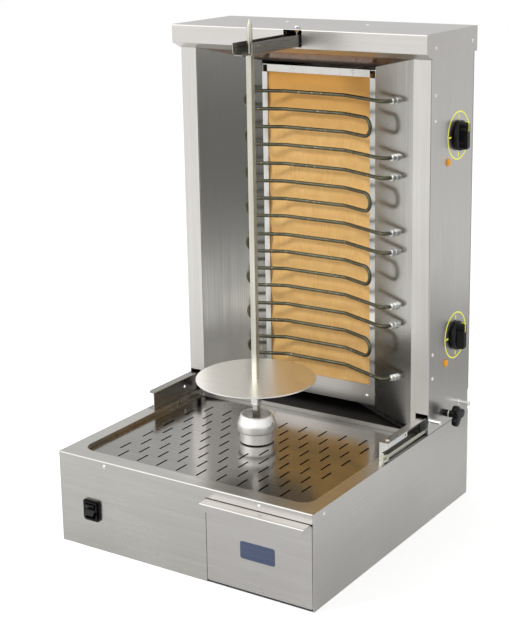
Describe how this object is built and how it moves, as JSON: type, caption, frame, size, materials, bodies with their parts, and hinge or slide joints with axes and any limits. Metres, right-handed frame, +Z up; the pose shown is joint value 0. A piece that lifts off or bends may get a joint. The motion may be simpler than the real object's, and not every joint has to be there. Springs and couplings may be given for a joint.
{
  "type": "doner kebab grill",
  "caption": "Electric doner grill: stainless base with drip tray and drawer, motor-turned upright spit with meat disc, and a heater tower that slides toward the spit",
  "frame": {"origin": "middle of the base's underside, on the surface it stands on", "axes": "+X to the right as seen from the front, +Y to the back, +Z up; the front with drawer and switch faces -Y"},
  "size_m": [0.549, 0.5888, 0.899],
  "materials": {
    "satin_steel": "satin brushed stainless sheet",
    "bright_steel": "bright stainless",
    "folded_steel": "mill-finish stainless",
    "galvanised_steel": "galvanised sheet",
    "ground_steel": "ground carbon steel",
    "zinc_plated_steel": "bright zinc plate",
    "heater_tube_steel": "heat-tinted sheath",
    "polished_aluminium": "turned and polished",
    "cast_aluminium": "cast",
    "painted_motor_steel": "painted",
    "bearing_bronze": "sintered bronze",
    "brass": "turned",
    "black_plastic": "moulded phenolic, black",
    "amber_lens": "translucent amber",
    "yellow_print": "printed",
    "refractory_mat": "matt refractory fibre",
    "steatite": "unglazed",
    "badge_plate": "painted blue-grey plate without lettering"
  },
  "bodies": {
    "base": {"floor_pan": "galvanised_steel", "left_side_panel": "satin_steel", "right_side_panel": "satin_steel", "back_panel": "satin_steel", "top_cover": "satin_steel", "drip_tray": "satin_steel", "juice_pan": "folded_steel", "left_rail": "folded_steel", "right_rail": "folded_steel", "rail_end_bracket": "folded_steel", "guide_rod": "ground_steel", "motor_bracket": "galvanised_steel", "motor_housing": "painted_motor_steel", "gearbox_housing": "cast_aluminium", "gearbox_cover": "cast_aluminium", "shaft_bearing": "bearing_bronze", "cable_gland": "black_plastic", "switch_housing": "black_plastic", "drawer_runners": "galvanised_steel", "base_screws": "bright_steel"},
    "spit": {"output_shaft": "ground_steel", "drive_hub": "polished_aluminium", "spit_bar": "bright_steel", "meat_disc": "satin_steel", "disc_pin": "bright_steel"},
    "motor_rotor": {"motor_pinion": "ground_steel"},
    "drawer": {"drawer_box": "folded_steel", "drawer_front": "satin_steel", "drawer_badge": "badge_plate"},
    "switch_rocker": {"rocker_switch": "black_plastic"},
    "heater": {"tower_left_side": "satin_steel", "tower_right_side": "satin_steel", "tower_back_cover": "satin_steel", "tower_cap": "satin_steel", "tower_floor": "satin_steel", "left_reflector": "bright_steel", "right_reflector": "bright_steel", "top_deflector": "bright_steel", "board_frame": "satin_steel", "refractory_board": "refractory_mat", "heating_element_1": "heater_tube_steel", "heating_element_2": "heater_tube_steel", "heating_element_3": "heater_tube_steel", "heating_element_4": "heater_tube_steel", "element_nuts": "zinc_plated_steel", "element_insulators": "steatite", "regulators": "black_plastic", "dial_rings": "yellow_print", "pilot_lights": "amber_lens", "slide_blocks": "cast_aluminium", "side_bolts": "bright_steel", "tower_screws": "bright_steel", "arm_guide": "folded_steel", "clamp_nut": "brass"},
    "arm": {"top_arm": "folded_steel"},
    "arm_clamp": {"arm_clamp_screw": "bright_steel"},
    "upper_knob": {"regulator_knob_upper": "black_plastic"},
    "lower_knob": {"regulator_knob_lower": "black_plastic"},
    "tower_clamp": {"clamp_knob": "black_plastic", "clamp_stud": "bright_steel"}
  },
  "joints": [
    {"name": "heater_slide", "type": "slide", "parent": "base", "child": "heater", "axis": [0, -1, 0], "range_m": [0, 0.075]},
    {"name": "arm_slide", "type": "slide", "parent": "heater", "child": "arm", "axis": [0, 1, 0], "range_m": [0, 0.075]},
    {"name": "spit_spin", "type": "hinge", "parent": "base", "child": "spit", "pos_m": [0, -0.043, 0.16], "axis": [0, 0, 1], "continuous": true},
    {"name": "pinion_spin", "type": "hinge", "parent": "base", "child": "motor_rotor", "pos_m": [0, 0.0111, 0.097], "axis": [0, 0, 1], "continuous": true},
    {"name": "drawer_slide", "type": "slide", "parent": "base", "child": "drawer", "axis": [0, -1, 0], "range_m": [0, 0.27]},
    {"name": "rocker_tip", "type": "hinge", "parent": "base", "child": "switch_rocker", "pos_m": [-0.1875, -0.2745, 0.0717], "axis": [1, 0, 0], "range_deg": [0, 22]},
    {"name": "upper_regulator_turn", "type": "hinge", "parent": "heater", "child": "upper_knob", "pos_m": [0.2575, 0.2175, 0.686], "axis": [1, 0, 0], "range_deg": [-270, 0]},
    {"name": "lower_regulator_turn", "type": "hinge", "parent": "heater", "child": "lower_knob", "pos_m": [0.2575, 0.2175, 0.3243], "axis": [1, 0, 0], "range_deg": [-270, 0]},
    {"name": "tower_clamp_turn", "type": "hinge", "parent": "heater", "child": "tower_clamp", "pos_m": [0.2575, 0.1805, 0.1882], "axis": [1, 0, 0], "range_deg": [-360, 0]},
    {"name": "arm_clamp_turn", "type": "hinge", "parent": "heater", "child": "arm_clamp", "pos_m": [0.001, 0.104, 0.87], "axis": [0, 0, 1], "range_deg": [-360, 0]}
  ],
  "couplings": [
    {"joint": "pinion_spin", "follows": "spit_spin", "ratio": -5},
    {"joint": "arm_slide", "follows": "heater_slide", "ratio": 1}
  ]
}
